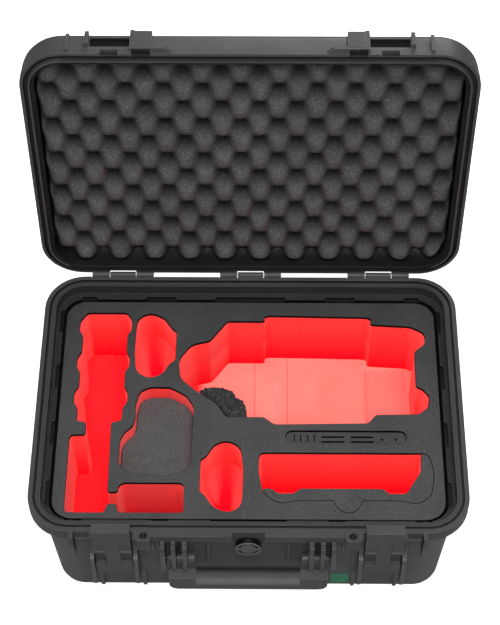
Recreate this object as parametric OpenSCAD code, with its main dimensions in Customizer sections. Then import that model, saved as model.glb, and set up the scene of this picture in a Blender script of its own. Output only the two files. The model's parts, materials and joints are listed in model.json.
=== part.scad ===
// Waterproof carrying case with a fitted foam interior for a small camera drone.
// Origin: centre of the footprint, on the floor under the feet. +X to the right seen
// from the front, +Y to the back (hinge side), +Z up. Millimetres.
// The lid is drawn closed and then turned open by lid_open_deg, which is the rest pose.

/* [Case] */
// Outer width of the rim
case_w = 464; // [460:1:468]
// Outer depth of the rim
case_d = 328; // [326:1:330]
// Height of the rim face above the floor
rim_z = 137; // [135:1:140]
// Height of the lid above the rim
lid_h = 40; // [39:1:44]
// Corner radius of the rim, seen from above
corner_r = 44; // [40:1:48]
// Wall thickness of the moulded base
wall = 3; // [2.5:0.5:3.5]
// How far the body steps in under the rim at the sides
side_inset = 17; // [16:1:18]
// How far the body steps in under the rim at front and back
front_inset = 3; // [3:0.5:4]

/* [Lid] */
// Angle the lid stands open at rest
lid_open_deg = 94.7; // [0:0.1:100]
// How far the lid's lip stands out past the base's rim at the front and sides
lid_over = 2.8; // [2.4:0.1:3]
// Hinge axis behind the rim
hinge_back = 3.1; // [3:0.1:3.4]
// Radius of a hinge knuckle
knuckle_r = 3.3; // [3:0.1:3.4]
// Radius of a hinge pin
hinge_pin_r = 1.5; // [1.3:0.1:1.7]

/* [Latches] */
// Distance of a latch from the centre line
latch_x = 141; // [140.5:0.5:141.5]
// Width of a latch
latch_w = 39; // [37:0.5:39.5]
// Radius of the latch pins
latch_pin_r = 2; // [1.5:0.1:2.2]

/* [Handle] */
// Half width of the handle over its arms
handle_half = 84; // [83.5:0.5:84.5]
// Radius of the handle pins
handle_pin_r = 2.5; // [2:0.1:2.8]

/* [Foam] */
// Drop from the rim to the foam's top face
foam_drop = 16; // [15:0.5:18]
// Depth of the equipment pockets
pocket_depth = 87; // [80:1:90]
// Thickness of the dark top sheet
skin_t = 4; // [3:0.5:5]

/* [Hidden] */

grey = [0.27, 0.27, 0.28];
dark = [0.09, 0.09, 0.1];
red = [0.9, 0.08, 0.1];
steel = [0.72, 0.73, 0.75];

// heights and depths
back_y = case_d / 2;
body_top = rim_z - 18;
ledge_z = rim_z - 14;
lid_top = rim_z + lid_h;
foam_z = rim_z - foam_drop;
floor_z = foam_z - pocket_depth;
seam_z = 76; // between the lower and upper foam blocks
front_root = -150; // y inside the front wall, where outside ribs start

// axes that run along X, as [y, z]
hinge_axis = [back_y + hinge_back, rim_z];
link_axis = [-168, 71];
lever_axis = [-170.5, rim_z - 9];
handle_axis = [-169, 89];

// places along X
hinge_xs = [-146, 0, 146];
handle_pin_x = 74.3;
padlock_x = 108.6;

// clearances
bore_gap = 0.02; // base bore round a pin
turn_gap = 0.06; // bore that turns on a pin
foam_gap = 0.05; // between stacked foam blocks
piece_gap = 0.1; // round a loose foam piece

layer_t = 0.01; // thickness of the outlines that a hull joins

// ---------- helpers ----------
function span(middle, half) = [middle - half, middle + half];

module both_sides() { for (side = [0, 1]) mirror([side, 0, 0]) children(); }
module front_and_back() { for (end = [0, 1]) mirror([0, end, 0]) children(); }

// box between three [from, to] pairs
module box(x, y, z) {
  translate([x[0], y[0], z[0]]) cube([x[1] - x[0], y[1] - y[0], z[1] - z[0]]);
}
// box given for the right side, repeated on the left
module side_boxes(x, y, z) { both_sides() box(x, y, z); }
// pair of boxes that stand out of the front wall as far as front_y
module front_boxes(x, front_y, z) { side_boxes(x, [front_y, front_root], z); }
// rod along X about a [y, z] axis
module x_rod(x, axis, r) {
  translate([x[0], axis[0], axis[1]]) rotate([0, 90, 0]) cylinder(r = r, h = x[1] - x[0], $fn = 48);
}
// plan shape extruded between two heights
module slab(bottom, top) { translate([0, 0, bottom]) linear_extrude(top - bottom) children(); }
// [y, z] profile extruded towards +X from x
module yz_plate(x, thick) {
  translate([x, 0, 0]) rotate([90, 0, 90]) linear_extrude(thick) children();
}

module corner_circles(w, d, r, facets) {
  for (sx = [-1, 1], sy = [-1, 1])
    translate([sx * (w / 2 - r), sy * (d / 2 - r)]) circle(r = r, $fn = facets);
}
// rectangle with round corners
module round_rect(w, d, r) {
  square([w - 2 * r, d], center = true);
  square([w, d - 2 * r], center = true);
  corner_circles(w, d, r, 64);
}
// thin round-cornered outline for use inside a hull
module layer(w, d, r, z) {
  translate([0, 0, z]) linear_extrude(layer_t) corner_circles(w, d, r, 48);
}

// the rim's outline moved in from its outer edge
module rim_plan(inset) {
  round_rect(case_w - 2 * inset, case_d - 2 * inset, corner_r - inset);
}
// ring between two insets from the rim's outer edge; low and high are measured from rim_z
module rim_ring(outer, inner, low, high) {
  slab(rim_z + low, rim_z + high) difference() {
    rim_plan(outer);
    rim_plan(inner);
  }
}
// turns a closed-lid piece about the hinge into its open rest pose
module opened() {
  pivot = [0, hinge_axis[0], hinge_axis[1]];
  translate(pivot) rotate([-lid_open_deg, 0, 0]) translate(-pivot) children();
}

// ---------- rounded outlines ----------
function unit(v) = v / norm(v);
function xy(point) = [point[0], point[1]];
// longest tangent a corner may take from a side it shares with the next corner
function side_share(side, r, other_r) = norm(side) * 0.98 * r / (r + other_r + 0.001);

arc_steps = 5;
// points of the arc that rounds one [x, y, radius] corner
function corner_arc(before, corner, after) = let(
    side_a = xy(before) - xy(corner),
    side_b = xy(after) - xy(corner),
    dir_a = unit(side_a),
    dir_b = unit(side_b),
    half = acos(max(-1, min(1, dir_a * dir_b))) / 2,
    r = corner[2],
    tangent = min(r / tan(half), side_share(side_a, r, before[2]), side_share(side_b, r, after[2])),
    arc_r = tangent * tan(half),
    centre = xy(corner) + unit(dir_a + dir_b) * (arc_r / sin(half)),
    first = xy(corner) + dir_a * tangent - centre,
    last = xy(corner) + dir_b * tangent - centre,
    start = atan2(first[1], first[0]),
    turn = atan2(last[1], last[0]) - start,
    sweep = turn > 180 ? turn - 360 : (turn < -180 ? turn + 360 : turn))
  [for (i = [0:arc_steps])
    let(angle = start + sweep * i / arc_steps) centre + arc_r * [cos(angle), sin(angle)]];

// closed outline through [x, y, radius] corners
module outline(corners) {
  count = len(corners);
  polygon([for (i = [0:count - 1])
    each corner_arc(corners[(i + count - 1) % count], corners[i], corners[(i + 1) % count])]);
}
// corners moved towards a centre by [x, y] factors, to give a loose piece its clearance
function shrunk(corners, centre, factor) = [for (c = corners)
  [centre[0] + (c[0] - centre[0]) * factor[0], centre[1] + (c[1] - centre[1]) * factor[1], c[2]]];

// ---------- base ----------
// drafted tray with a rounded bottom edge, moved in from the body's outside
module tray(inset, bottom, top, bottom_r) {
  w = case_w - 2 * (side_inset + inset);
  d = case_d - 2 * (front_inset + inset);
  r = 30 - inset * 0.6;
  draft_w = 12.4;
  draft_d = 8;
  hull() {
    layer(w, d, r, top);
    for (angle = [0:30:90]) let(step = bottom_r * (1 - cos(angle)))
      layer(w - draft_w - 2 * step, d - draft_d - 2 * step, r - 0.9 * step,
        bottom + bottom_r * (1 - sin(angle)));
  }
}

module bottom_ribs() {
  // skid ribs under the floor
  both_sides() for (x = [111.5, 157.5]) yz_plate(x, 3.5)
    polygon([[-162.2, 42], [-160.8, 12], [-158.4, 4], [-153.5, 0],
      [146, 0], [150, 3], [150, 20], [-150, 42]]);
  // the inner skid ribs carry on up the front wall
  both_sides() yz_plate(111.5, 3.5)
    polygon([[-162.6, 103], [-159.4, 40], [-150, 40], [-150, 103]]);
  // centre foot
  box([-10, 10], [-25, 25], [0, 3]);
}

module front_ribs() {
  rib_top = rim_z - 0.6;
  // guard ribs either side of each latch
  for (x = [116.5, 162]) front_boxes([x, x + 3.5], -172, [57, rib_top]);
  both_sides() for (x = [116.3, 161.8]) yz_plate(x, 4) {
    polygon([[-150, 40], [-162, 40], [-177.5, 46], [-177.5, 98], [-172, 103.5], [-150, 103.5]]);
    translate([-175, 46]) circle(r = 2.5, $fn = 32);
    translate([-174.5, 98]) circle(r = 3, $fn = 32);
  }
  // stub ribs outboard of the latches, with the small shelf beside them
  front_boxes([181.8, 186.2], -171.5, [94, rib_top]);
  front_boxes([167, 180], -166.5, [110, 125]);
  // padlock bosses, each with two short drip ribs beside it
  front_boxes([101.5, 116.6], -174.5, [117, rim_z]);
  for (x = [93, 98.5]) front_boxes([x, x + 2], -168, [104, 128]);
  // handle bracket ribs
  for (x = [64.2, 75.9, 87.1]) {
    front_boxes([x, x + 4.4], -173, [72, 127]);
    front_boxes([x, x + 4.4], -177.8, [78, 125]);
  }
  // edges of the recess round the valve
  front_boxes([41.5, 43], -164.5, [70, 128]);
}

// rim: outer lip, groove and inner tongue over a hollow channel
module base_rim() {
  // outer inset, inner inset, low, high
  for (ring = [[0, 5, -3, 0], [8, 13, -3, -0.5], [0, 13, -6, -3], [0, 3, -15, -6], [10, 13, -15, -6]])
    rim_ring(ring[0], ring[1], ring[2], ring[3]);
}

// ledge that carries the foam's edge
module foam_ledge() {
  slab(ledge_z - 6, ledge_z) difference() {
    round_rect(case_w - 19, case_d - 6.4, 34);
    round_rect(case_w - 40.5, case_d - 43.5, 23);
  }
}
module ledge_notches() {
  // x, half width at the mouth, half width at the end
  front_notches = [[0, 42.5, 39], [102, 20, 16.5], [184, 11, 8]];
  slab(ledge_z - 4, ledge_z + 6) both_sides() {
    front_and_back() for (n = front_notches) translate([n[0], 0])
      polygon([[-n[1], 138], [n[1], 138], [n[2], 146], [-n[2], 146]]);
    for (y = [-111:74:111]) translate([0, y])
      polygon([[206, -18], [206, 18], [215.5, 14.5], [215.5, -14.5]]);
  }
}
// ribs that fill between the foam and the front and back walls
module foam_ribs() {
  rib_top = ledge_z - 3;
  front_and_back() for (x = [-180:72:180]) yz_plate(x - 1.5, 3)
    polygon([[142, 3.5], [142, rib_top], [159.5, rib_top], [155.5, 12], [150, 3.5]]);
}

// centre knuckles of the hinges
module base_knuckles() {
  for (x = hinge_xs) {
    x_rod(span(x, 14.5), hinge_axis, knuckle_r);
    box(span(x, 6.5), [back_y - 2, hinge_axis[0]], [rim_z - 3.2, rim_z - 0.4]);
    box(span(x, 14.5), [back_y - 2, hinge_axis[0] + knuckle_r], [rim_z - 11, rim_z - 2.2]);
  }
}

module padlock_eyes(bottom, height) {
  both_sides() translate([padlock_x, -168.4, bottom]) cylinder(r = 4.25, h = height, $fn = 48);
}

module base_bores() {
  for (x = hinge_xs) {
    // room for the lid's knuckles
    for (side = [-1, 1]) x_rod(span(x + side * 25, 10.6), hinge_axis, knuckle_r + 0.5);
    x_rod(span(x, 15), hinge_axis, hinge_pin_r + bore_gap);
  }
  both_sides() {
    x_rod(span(latch_x, 26), link_axis, latch_pin_r + bore_gap);
    x_rod(span(handle_pin_x, 20), handle_axis, handle_pin_r + bore_gap);
  }
  padlock_eyes(100, 50);
  // valve: hole, room for the nut inside, flat seat outside
  valve_disc([-175, -150], 5.9);
  valve_disc([-158.4, -140], 11);
  valve_disc([-180, -160.4], 15.2);
}

module base_shell() {
  color(grey) difference() {
    union() {
      difference() {
        union() {
          tray(0, 1, body_top, 6);
          bottom_ribs();
          front_ribs();
        }
        tray(wall, 1 + wall, body_top + 1, 4);
      }
      // front face of the rim drops to form the handle header
      side_boxes([17.5, 101.6], [-169.5, -161], [126, rim_z]);
      base_rim();
      foam_ledge();
      foam_ribs();
      base_knuckles();
    }
    // groove runs clear through the ribs and bosses, for the lid's ridge
    rim_ring(5, 8, -3, 1);
    ledge_notches();
    base_bores();
  }
}

// ---------- lid ----------
// The lid's outline is flush with the rim at the back and proud of it elsewhere.
lid_w = case_w + 2 * lid_over;
lid_d = case_d + lid_over;
lid_r = corner_r + 1.5;

module lid_tray(inset, top) {
  edge_z = top - 19; // where the rounded top edge starts
  r = lid_r - inset;
  translate([0, -lid_over / 2, 0]) hull() {
    layer(lid_w - 2 * inset, lid_d - 2 * inset, r, rim_z + 0.2);
    for (angle = [0:18:90]) let(curve = 1 - cos(angle), step = inset + 0.8 + 18 * curve)
      layer(lid_w - 2 * step, lid_d - 2 * step, r - 0.8 - 17 * curve, edge_z + 19 * sin(angle));
  }
}

module lid_front_blocks() {
  // x from, x to, front y, low and high above the rim
  blocks = [
    [161.8, 166, -173, 9, 27],    // rib outboard of the latch
    [115.6, 120.2, -174, 0.4, 28], // rib inboard of the latch
    [181.4, 185, -171.5, 2, 25],  // stub rib
    [98, 115.7, -174.5, 4, 26]];  // padlock block
  for (b = blocks) front_boxes([b[0], b[1]], b[2], [rim_z + b[3], rim_z + b[4]]);
  // shelf
  both_sides() slab(rim_z + 0.4, rim_z + 4.4)
    polygon([[120, -174], [84, -174], [73, -163], [73, -150], [120, -150]]);
}

module lid_rim() {
  // outer lip
  slab(rim_z + 0.2, rim_z + 8) difference() {
    translate([0, -lid_over / 2]) round_rect(lid_w, lid_d, lid_r);
    rim_plan(0.4);
  }
  // recess over the base's flange
  rim_ring(0.3, 11.6, 3.6, 8);
  // ridge for the base's groove
  rim_ring(5.6, 7.6, -1.8, 4);
  // seat of the seal
  rim_ring(10.6, 11.6, 1.5, 4);
}

// outer knuckles of the hinges
module lid_knuckles() {
  for (x = hinge_xs, side = [-1, 1]) let(reach = span(x + side * 25.25, 9.75)) {
    x_rod(reach, hinge_axis, knuckle_r);
    box(reach, [back_y - 2, hinge_axis[0] + knuckle_r], [rim_z + 0.4, rim_z + 9]);
  }
}

module lid_cuts() {
  // pocket the latch hook drops into
  side_boxes([120.8, 161.2], [-172, -159.2], [rim_z + 11.3, rim_z + 26]);
  // notches in the lip under the latch and the padlock block
  side_boxes([132, 150], [-172, -163.4], [rim_z - 1, rim_z + 6.5]);
  side_boxes([99.5, 118.5], [-172.8, -163.4], [rim_z - 1, rim_z + 7.5]);
  padlock_eyes(rim_z - 1, 28.5);
  for (x = hinge_xs) {
    // room for the base's knuckles
    x_rod(span(x, 15.2), hinge_axis, knuckle_r + 0.7);
    box(span(x, 15.2), [159.2, 170], [rim_z - 1, rim_z + 7]);
    // pin bores
    for (side = [-1, 1]) x_rod(span(x + side * 25.25, 11), hinge_axis, hinge_pin_r + turn_gap);
  }
}

module lid_shell() {
  color(grey) opened() difference() {
    union() {
      difference() {
        union() {
          lid_tray(0, lid_top);
          lid_front_blocks();
        }
        lid_tray(3.5, lid_top - 3.5);
      }
      lid_rim();
      // backing behind each latch pocket
      side_boxes([118, 164], [-163, -156], [rim_z + 7, rim_z + 27]);
      lid_knuckles();
    }
    lid_cuts();
  }
}
module lid_gasket() { color(dark) opened() rim_ring(7.8, 10.4, 0.1, 3.5); }
// plain slab with a smaller step on its lid side
module lid_foam() {
  color([0.2, 0.2, 0.21]) opened() {
    slab(rim_z + 8.2, lid_top - 10) round_rect(440, 303, 30);
    slab(lid_top - 12, lid_top - 4.5) round_rect(426, 290, 26);
  }
}

module hinge_pin(x) { color(steel) x_rod(span(x, 34.5), hinge_axis, hinge_pin_r); }

// ---------- latches: side is -1 on the left, 1 on the right ----------
latch_half = latch_w / 2;
latch_across = span(0, latch_half);

module latch_link(side) {
  column = span(0, 7.3);
  color(grey) translate([side * latch_x, 0, 0]) difference() {
    union() {
      x_rod(latch_across, link_axis, 5);
      box(latch_across, [-175.2, link_axis[0]], [66.5, 83]);
      box(latch_across, [-175.2, -171], [66.5, 84.5]);
      // centre column up to the lever's pin
      box(column, [-176.6, -170], [80, rim_z]);
      x_rod(column, lever_axis, 4.2);
      // frame round the two finger windows
      box(span(0, latch_half - 0.3), [-171.5, -169], [80, 110]);
    }
    for (axis = [link_axis, lever_axis]) x_rod([-30, 30], axis, latch_pin_r + turn_gap);
    for (k = [-1, 1]) box(span(k * 13.2, 5), [-180, -170.3], [86, 112]);
  }
}

module latch_lever(side) {
  face_y = -177.6;
  bottom = rim_z - 20;
  top = rim_z + 22.5;
  ear_r = 4.2;
  color(grey) translate([side * latch_x, 0, 0]) difference() {
    union() {
      // front plate
      box(latch_across, [face_y, -174.6], [bottom, top]);
      // hook over the top
      box(latch_across, [face_y, -167.5], [rim_z + 19, top]);
      box(latch_across, [-170.5, -167.5], [rim_z + 14, top]);
      both_sides() {
        // side wall
        box([latch_half - 2.6, latch_half], [face_y, -171.2], [rim_z - 13, rim_z + 20]);
        // ear on the pin
        x_rod([8, 12], lever_axis, ear_r);
        box([8, 12], [-176, lever_axis[0]], span(lever_axis[1], ear_r));
      }
      // bead along the pull edge
      box(latch_across, [-178.6, -175], [bottom, bottom + 2.5]);
    }
    // recess with sloping sides in the face
    hull() {
      box([-17, 17], [-178, -177.5], [rim_z - 16.5, rim_z - 1.5]);
      box([-10, 10], [-178, -176], [rim_z - 12, rim_z - 7.5]);
    }
    // slot that clears the link's centre column
    box([-7.8, 7.8], [-180, -160], [rim_z - 30, rim_z + 2]);
    x_rod([-20, 20], lever_axis, latch_pin_r + turn_gap);
  }
}
module latch_base_pin(side) {
  color(steel) x_rod(span(side * latch_x, 24), link_axis, latch_pin_r);
}
module latch_lever_pin(side) {
  color(steel) x_rod(span(side * latch_x, 11.8), lever_axis, latch_pin_r);
}

// ---------- handle ----------
// fingers between the bracket ribs
module handle_fingers() {
  pin_y = handle_axis[0];
  both_sides() for (x = [[57, 63.6], [69.2, 75.3], [80.9, handle_half]]) {
    x_rod(x, handle_axis, 6);
    box(x, [pin_y - 6, pin_y + 2], [66, handle_axis[1]]);
    box(x, [-182, pin_y], [62, 73]);
  }
}
// arms and cross bar, one U-shaped moulding
module handle_bar() {
  bar_r = 10; // radius of the lower corners
  bar_z = 60; // height of the corner centres
  arm_h = 14;
  translate([0, -173.5, 0]) rotate([90, 0, 0]) linear_extrude(12.5) difference() {
    union() {
      translate([-handle_half, bar_z]) square([2 * handle_half, arm_h]);
      translate([-handle_half + bar_r, bar_z - bar_r])
        square([2 * (handle_half - bar_r), arm_h + bar_r]);
      for (k = [-1, 1]) translate([k * (handle_half - bar_r), bar_z]) circle(r = bar_r, $fn = 64);
    }
    translate([-55.2, 60.5]) square([110.4, 20]);
  }
}
module handle_frame() {
  color(grey) difference() {
    union() {
      handle_fingers();
      handle_bar();
    }
    x_rod([-100, 100], handle_axis, handle_pin_r + turn_gap);
  }
}
// half-round pad on the bar between the arms
module handle_grip() {
  half = 55;
  r = 8.5;
  low_z = 60.55;
  round_z = 67; // where the half-round starts
  color(dark) translate([0, -177, 0]) yz_plate(-half, 2 * half) {
    translate([-r, low_z]) square([2 * r, round_z - low_z]);
    intersection() {
      translate([0, round_z]) circle(r = r, $fn = 64);
      translate([-10, round_z]) square([20, 10]);
    }
  }
}
module handle_pin(side) {
  color(steel) x_rod(span(side * handle_pin_x, 17), handle_axis, handle_pin_r);
}

// ---------- pressure valve, on an axis along Y in the front wall ----------
valve_z = 111;
module valve_disc(y, r) {
  translate([0, y[0], valve_z]) rotate([-90, 0, 0]) cylinder(r = r, h = y[1] - y[0], $fn = 64);
}

module purge_valve_body() {
  color(dark) difference() {
    union() {
      valve_disc([-163.2, -160.5], 14.8);
      valve_disc([-161, -147], 5.8);
    }
    // groove for the sealing ring
    difference() {
      valve_disc([-162.5, -160], 12.1);
      valve_disc([-163, -159], 9.9);
    }
    // bore for the knob's stem, then the membrane's recess
    valve_disc([-170, -150], 3.06);
    valve_disc([-150.01, -140], 4.8);
  }
}
module purge_valve_knob() {
  color(grey) difference() {
    union() {
      valve_disc([-170.5, -163.6], 13.5);
      valve_disc([-164, -152], 3);
    }
    // ring groove in the face, crossed by four spokes
    difference() {
      valve_disc([-172, -168.3], 11.2);
      valve_disc([-173, -168], 8.2);
      box([-1.6, 1.6], [-173, -168], span(valve_z, 13));
      box([-13, 13], [-173, -168], span(valve_z, 1.6));
    }
  }
}
module purge_valve_seal() {
  color(dark) translate([0, -161.5, valve_z]) rotate([90, 0, 0])
    rotate_extrude($fn = 64) translate([11, 0]) circle(r = 0.95, $fn = 24);
}
module purge_valve_nut() {
  color(dark) difference() {
    translate([0, -156.8, valve_z]) rotate([-90, 30, 0]) cylinder(r = 10.5, h = 6, $fn = 6);
    valve_disc([-160, -145], 5.86);
  }
}
module purge_valve_membrane() { color("white") valve_disc([-149.6, -149], 4.6); }

// ---------- foam outlines seen from above: x, y, corner radius ----------
// long notched pocket down the left side
left_corners = [
  [-185, 125, 3], [-140, 125, 3], [-134, 115, 3], [-134, 101, 3], [-138.5, 94, 3],
  [-138.5, 71, 3], [-134.5, 65, 3], [-134.5, 52, 3], [-139, 45, 3], [-139, 25, 3],
  [-134.5, 18, 3], [-134.5, 5, 3], [-139.5, -3, 3], [-139.5, -20, 4], [-151, -20.5, 1],
  [-150, -108, 1], [-139, -108, 2], [-139, -100, 4], [-134, -96.5, 5], [-69, -96.5, 4],
  [-68.5, -132.5, 3], [-139, -132.5, 3], [-139, -122, 1.5], [-150, -122, 1.5],
  [-152, -132.5, 3], [-195, -132.5, 3], [-195, -37, 3], [-178, -37, 1], [-178, -20.5, 1],
  [-188.5, -20.5, 3], [-188.5, -3, 3], [-193.5, 5, 3], [-193.5, 18, 3], [-189, 25, 3],
  [-189, 45, 3], [-193, 51, 3], [-193, 64, 3], [-188.5, 71, 3], [-188.5, 94, 3],
  [-193, 100, 3], [-193, 113, 3]];
accessory_corners = [
  [-128, 118, 14], [-113, 125.5, 14], [-98, 118, 8], [-87, 102, 3], [-83, 100, 2.5],
  [-83.5, 60, 2.5], [-89, 57, 3], [-97, 43, 12], [-111, 35, 16], [-127, 45, 16],
  [-129.5, 72, 30], [-129, 100, 12]];
// the second accessory pocket is the first one turned half round
accessory_2_corners = [for (c = accessory_corners) [-135.5 - c[0], -7 - c[1], c[2]]];
drone_corners = [
  [-45, 87, 3], [-26, 114, 2.5], [16, 114, 2.5], [24, 122, 6], [128, 120, 9], [137, 110, 3],
  [181, 107.5, 11], [197, 99, 9], [197, 84, 9], [184, 73.5, 3], [184, 26, 2], [190, 25, 7],
  [198, 15, 9], [198, 2, 9], [186, -9, 6], [138, -10, 3], [130, -21, 6], [27, -23, 7],
  [16, -13.5, 3], [-25, -14, 3], [-37, 4, 8], [-60, 21, 8], [-77, 36, 16], [-79.5, 62, 18],
  [-66, 82, 18]];
cover_corners = [
  [-125, 2, 10], [-121, 19, 8], [-110, 24.5, 8], [-88, 24.5, 8], [-70, 14, 8], [-61, 0, 12],
  [-62, -44, 40], [-63, -78, 12], [-80, -87, 18], [-125, -87, 14], [-140, -75, 14],
  [-140, -43, 9], [-135, -33, 7], [-127, -26, 6], [-124.5, -15, 8]];
controller_corners = [
  [11, -58.5, 5], [185, -58.5, 1.5], [184.5, -80, 8], [173, -99, 6], [167.5, -108.5, 3],
  [149, -108.5, 3], [143.5, -102.5, 3], [53.5, -102.5, 3], [48.5, -108.5, 3],
  [30.5, -108.5, 3], [25, -102.5, 3], [12, -102.5, 2], [10.5, -82, 20]];
filler_corners = [
  [11, -58.5, 5], [193, -58.5, 7], [198.5, -82, 18], [194.5, -110, 14], [180, -122, 16],
  [162, -117, 14], [120.5, -117, 1], [118, -125, 6], [111, -132, 8], [101, -132, 8],
  [93, -125, 6], [90, -117, 1], [50, -117, 14], [32, -122.5, 18], [15, -108, 14],
  [10.5, -82, 20]];
gimbal_corners = [
  [-59, 22.4, 3], [-50, 29, 6], [-30, 29, 8], [-17, 23, 4], [-14, 15.5, 3], [-6, 12, 4],
  [-1.5, -2, 6], [-1, -12.8, 1.5], [-24, -12.8, 2], [-36, 5.2, 8]];
card_place = [105, -38.5];

// ---------- base foam ----------
foam_d = 279;
foam_r = 22;

// pockets that reach down through both blocks
module deep_pockets() {
  for (corners = [left_corners, accessory_corners, accessory_2_corners, drone_corners,
      filler_corners])
    outline(corners);
}
module upper_pockets() {
  deep_pockets();
  outline(cover_corners);
  translate(card_place) round_rect(132, 16, 7.9);
}
module foam_top_sheet() {
  color(dark) slab(foam_z - skin_t, foam_z) difference() {
    round_rect(417, 280, foam_r);
    upper_pockets();
  }
}
module foam_upper_block() {
  color(red) slab(seam_z, foam_z - skin_t - foam_gap) difference() {
    round_rect(416.6, 279.6, foam_r);
    upper_pockets();
  }
}
module foam_lower_block() {
  color(red) slab(floor_z, seam_z - foam_gap) difference() {
    round_rect(408, foam_d, foam_r);
    deep_pockets();
  }
}
module foam_floor_pad() {
  cut_z = [floor_z - 4, floor_z + 1];
  color([0.95, 0.4, 0.38]) difference() {
    slab(4.3, floor_z - foam_gap) round_rect(394, foam_d, foam_r);
    // joints between the pieces of the drone's bed, and its lower end
    box([4.4, 5.6], [-12.5, 113], cut_z);
    box([42.4, 43.6], [-21.5, 119], cut_z);
    box([133, 183.5], [-9.5, 107], cut_z);
  }
}

// ---------- loose foam pieces ----------
module accessory_cover_foam() {
  color(dark) slab(seam_z + piece_gap, foam_z - 19)
    outline(shrunk(cover_corners, [-101, -31], [0.991, 0.9935]));
}
// filler round the controller, open at its back and left
module filler_plan() {
  difference() {
    outline(shrunk(filler_corners, [104.5, -90.25], [0.9962, 0.988]));
    outline(controller_corners);
    translate([5, -107]) square([8.5, 60]);
    translate([5, -61]) square([180, 6]);
  }
}
module controller_filler_top() {
  color(dark) slab(foam_z - skin_t - piece_gap, foam_z - piece_gap) filler_plan();
}
module controller_filler_core() {
  color(red) slab(floor_z + piece_gap, foam_z - skin_t - 2 * piece_gap) filler_plan();
}
module card_holder_foam() {
  color(dark) difference() {
    slab(seam_z + piece_gap, foam_z - 3) translate(card_place) round_rect(131.4, 15.4, 7.6);
    // short slits across, long slits along X, then two round holes
    for (x = [49, 56, 63.5, 70.5]) box(span(x, 0.5), [-43, -34], [foam_z - 15, foam_z]);
    for (x = [78, 110], y = [-37, -43]) box([x, x + 25], span(y, 1), [foam_z - 25, foam_z]);
    for (x = [144, 159]) translate([x, -40, foam_z - 12]) cylinder(r = 1.4, h = 20, $fn = 24);
  }
}
module gimbal_rest_foam() {
  color([0.15, 0.15, 0.16]) slab(floor_z + piece_gap, foam_z - 4 + piece_gap)
    outline(shrunk(gimbal_corners, [-28, 8], [0.985, 0.985]));
}

// plain badge on the drafted front wall
module front_label() {
  low_z = 10;
  wall_slope = 0.0363; // how far the wall leans in for each millimetre down
  wall_y = -(back_y - front_inset) + (body_top - low_z) * wall_slope;
  color([0.1, 0.45, 0.3]) translate([89, wall_y - 0.62, low_z])
    rotate([2.08, 0, 0]) cube([20, 0.5, 22]);
}

base_shell();
lid_shell();
lid_gasket();
hinge_pin(hinge_xs[0]);  // hinge_pin_left
hinge_pin(hinge_xs[1]);  // hinge_pin_center
hinge_pin(hinge_xs[2]);  // hinge_pin_right
latch_link(-1);  // latch_link_left
latch_lever(-1);  // latch_lever_left
latch_base_pin(-1);  // latch_base_pin_left
latch_lever_pin(-1);  // latch_lever_pin_left
latch_link(1);  // latch_link_right
latch_lever(1);  // latch_lever_right
latch_base_pin(1);  // latch_base_pin_right
latch_lever_pin(1);  // latch_lever_pin_right
handle_frame();
handle_grip();
handle_pin(-1);  // handle_pin_left
handle_pin(1);  // handle_pin_right
purge_valve_body();
purge_valve_knob();
purge_valve_seal();
purge_valve_nut();
purge_valve_membrane();
foam_top_sheet();
foam_upper_block();
foam_lower_block();
foam_floor_pad();
accessory_cover_foam();
controller_filler_top();
controller_filler_core();
card_holder_foam();
gimbal_rest_foam();
lid_foam();
front_label();
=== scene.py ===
# A hard case with its lid open and cut foam inside, on a white stage.
# The base stands on z = 0 and is centred on x = y = 0. The front, with the purge valve, faces -y;
# the lid hinges at the back (+y). Shapes are worked out in mm and built in metres.
import json
import math

import bmesh
import bpy
import numpy as np
from mathutils import Matrix, Vector, noise
from mathutils.geometry import tessellate_polygon


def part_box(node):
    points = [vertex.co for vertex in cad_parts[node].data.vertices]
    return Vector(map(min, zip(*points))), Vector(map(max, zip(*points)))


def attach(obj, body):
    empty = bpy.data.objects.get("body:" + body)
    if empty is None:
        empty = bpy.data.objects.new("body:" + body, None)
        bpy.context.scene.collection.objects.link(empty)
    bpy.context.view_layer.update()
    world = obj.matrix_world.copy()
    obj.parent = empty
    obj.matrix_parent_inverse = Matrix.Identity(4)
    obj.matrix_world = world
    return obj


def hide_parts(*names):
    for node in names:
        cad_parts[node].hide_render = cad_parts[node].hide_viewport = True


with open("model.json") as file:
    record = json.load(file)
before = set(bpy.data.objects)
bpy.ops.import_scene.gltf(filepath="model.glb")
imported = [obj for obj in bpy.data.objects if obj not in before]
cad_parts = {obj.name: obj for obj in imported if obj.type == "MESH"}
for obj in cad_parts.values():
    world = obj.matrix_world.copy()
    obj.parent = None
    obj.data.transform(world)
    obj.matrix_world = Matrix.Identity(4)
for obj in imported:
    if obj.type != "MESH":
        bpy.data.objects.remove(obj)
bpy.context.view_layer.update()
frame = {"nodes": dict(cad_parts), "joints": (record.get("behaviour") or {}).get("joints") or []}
MM = 0.001
SCENE = bpy.context.scene

# OPENED swings the closed lid about its hinge to the open pose; CLOSED swings it back.
HINGE_JOINT = {joint["name"]: joint for joint in frame["joints"]}["lid_hinge"]
HINGE = Vector(HINGE_JOINT["pos_m"])
OPEN_ANGLE = math.radians(-HINGE_JOINT["range_deg"][0])
OPENED = (Matrix.Translation(HINGE) @ Matrix.Rotation(-OPEN_ANGLE, 4, "X")
          @ Matrix.Translation(-HINGE))
CLOSED = OPENED.inverted()


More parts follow.
